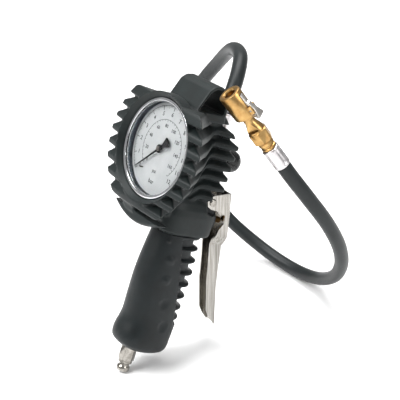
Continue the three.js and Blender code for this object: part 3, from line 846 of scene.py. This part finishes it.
nutBlank = bmesh.new()
bmesh.ops.create_cone(nutBlank, cap_ends=True, segments=6, radius1=8.2, radius2=8.2, depth=10.9)
bmesh.ops.translate(nutBlank, vec=(0, 0, 32.55), verts=nutBlank.verts)
bmesh.ops.rotate(nutBlank, matrix=Matrix.Rotation(math.radians(30), 3, "Z"), verts=nutBlank.verts)
softenEdges(nutBlank, 0.2, 40, 2)
nutPiece = toObject("nut", nutBlank)
cutAway(nutPiece, [spinShape([
    (0, 27.1), (7.0, 27.1), (8.4, 28.2), (8.4, 36.8), (7.2, 38), (0, 38)], 64)], "INTERSECT", False)
nutShape = takeShape(nutPiece)
neckShape = spinShape([
    (0, 37.5), (6.9, 37.5), (6.9, 38.6), (6.6, 40.2), (5.9, 42.4), (5.0, 44.6), (4.5, 46.4), (4.4, 47.6),
    (4.4, 49.6), (0, 49.6)], 64)
neckObject = toObject("neck", neckShape)
cutAway(neckObject, [blockShape(-12, 12, 4.0, 12, 39.2, 60), blockShape(-12, 12, -12, -4.0, 39.2, 60)],
        selfCrossing=False)
neckShape = takeShape(neckObject)
nutWhole = toObject("chuckNutTurned", joinShapes([nutShape, neckShape]), turnedBrass, 30)
markSharp(nutWhole, 30)
nutWhole = addPiece(nutWhole, "gun", ["chuck_nut"], chuckFrame)
headShape = spinShape([
    (1.5, 55), (1.5, 62), (4.6, 62), (4.6, 74.6), (5.3, 75.6), (6.2, 76), (7.6, 76), (8.4, 75.6), (8.7, 75),
    (8.7, 54.4), (8.4, 53.5), (7.6, 53), (5.6, 52.7), (5.0, 51.6), (4.6, 49.8), (1.5, 49.8), (1.5, 55),
], 80)
headPiece = toObject("chuckHeadTurned", headShape, turnedBrass)
lugs = blockShape(6.5, 11.4, -3.6, 3.6, 54.2, 61)
softenEdges(lugs, 0.6, 40, 3)
cutAway(headPiece, [lugs], "UNION", False)
pinHole = spinShape([(0, -10), (1, -10), (1, 10), (0, 10)], 24, "y", chuck["clipPin"])
cutAway(headPiece, [
    blockShape(6, 20, -2.2, 2.2, 50, 72.4), blockShape(3, 8.4, -2.2, 2.2, 69.6, 72.4)], selfCrossing=True)
cutAway(headPiece, [pinHole], selfCrossing=False)
markSharp(headPiece, 30)
headPiece = addPiece(headPiece, "gun", ["chuck_body"], chuckFrame)
sealShape = spinShape([
    (2, 62.6), (2.3, 62.3), (4, 62.3), (4.3, 62.6), (4.3, 65.5), (4, 65.8), (2.3, 65.8), (2, 65.5),
    (2, 62.6)], 48)
sealPiece = addPiece(
    toObject("chuckSealRing", sealShape, nitrileRubber), "gun", ["chuck_seal"], chuckFrame)
pinShape = spinShape([
    (0, 57.4), (1.2, 57.4), (1.2, 67.2), (1.7, 67.6), (1.7, 70.2), (1.4, 70.9), (0.8, 71.3), (0, 71.4)], 32)
pinPiece = addPiece(
    toObject("chuckPinTurned", pinShape, turnedBrass), "depressor", ["chuck_pin"], chuckFrame)
clipShape = drawnOut([
    (7.6, 60), (7.6, 70), (5.2, 70.4), (5.2, 71.8), (9, 71.8), (9.4, 64.6), (10.9, 63.4), (12.4, 57.5),
    (13.6, 49.6), (7.4, 51.2), (7.4, 54.5),
], -1.8, 1.8, "y")
# the thumb tab is wider than the arm that runs in the slot
for vert in clipShape.verts:
    vert.co.y *= 1 + chuck["tabFlare"] * (1 - between(vert.co.z, 51.5, 54)) * between(vert.co.x, 6, 11)
softenEdges(clipShape, 0.25, 40, 2)
clipPiece = toObject("clipLeverBlank", clipShape, clipSteel)
clipHole = spinShape([(0, -10), (1, -10), (1, 10), (0, 10)], 24, "y", chuck["clipPin"])
cutAway(clipPiece, [clipHole], selfCrossing=False)
markSharp(clipPiece, 30)
clipPiece = addPiece(clipPiece, "clip", ["clip_lever"], chuckFrame)

print("finishes on the carried-over pieces")
finishes = {
    "gun_body": powderCoat, "gauge_case": caseSteel, "zero_stop": plugSteel, "pinion_arbor": springSteel,
    "movement_front_plate": innerBrass, "movement_rear_plate": innerBrass, "movement_post_1": innerBrass,
    "movement_post_2": innerBrass, "sector_gear": innerBrass, "hairspring": innerBrass,
    "bourdon_tube": innerBrass, "gauge_socket": innerBrass, "plug_washer": nitrileRubber,
    "inlet_tube": plugSteel, "valve_plug": innerBrass, "valve_spring": springSteel, "valve_pin": turnedBrass,
    "valve_guide": turnedBrass, "trigger_pin": plugSteel, "outlet_adapter": plugSteel, "clip_pin": plugSteel,
    "clip_spring": springSteel,
}
for name, material in finishes.items():
    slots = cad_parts[name].data.materials
    slots.clear()
    slots.append(material)

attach(hoseTube, "gun")
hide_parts("hose")

print("stage and lights")
floorMaterial = newMaterial("floorPaper", "#FFFFFF", 0.9)[0]    # plain matt paper, no sheen
floor = bmesh.new()
bmesh.ops.create_grid(floor, x_segments=2, y_segments=2, size=6)
bmesh.ops.translate(floor, vec=(0, 0, cadBox[0].z), verts=floor.verts)
floorPiece = toObject("floor", floor, floorMaterial)
world = bpy.data.worlds.new("studio")
scene.world = world
world.use_nodes = True
world.node_tree.nodes["Background"].inputs["Color"].default_value = (1, 1, 1, 1)
world.node_tree.nodes["Background"].inputs["Strength"].default_value = 0.36
target = Vector((0, 0.09, 0.13))
right = Vector((0.588, 0.809, 0))
toCamera = Vector((0.809, -0.588, 0))
lights = {
    "keySoftbox": {"right": -1.0, "near": 0.35, "up": 1.25, "power": 34, "size": 1.0},
    "fillSoftbox": {"right": 1.2, "near": 0.8, "up": 0.8, "power": 9, "size": 0.7},
    "topSoftbox": {"right": 0.0, "near": -0.5, "up": 1.6, "power": 28, "size": 1.2},
}
for name, spec in lights.items():
    lamp = bpy.data.lights.new(name, "AREA")
    lamp.energy = spec["power"]
    lamp.size = spec["size"]
    holder = bpy.data.objects.new(name, lamp)
    holder.location = target + right * spec["right"] + toCamera * spec["near"] + Vector((0, 0, spec["up"]))
    holder.rotation_euler = (target - holder.location).to_track_quat("-Z", "Y").to_euler()
    scene.collection.objects.link(holder)
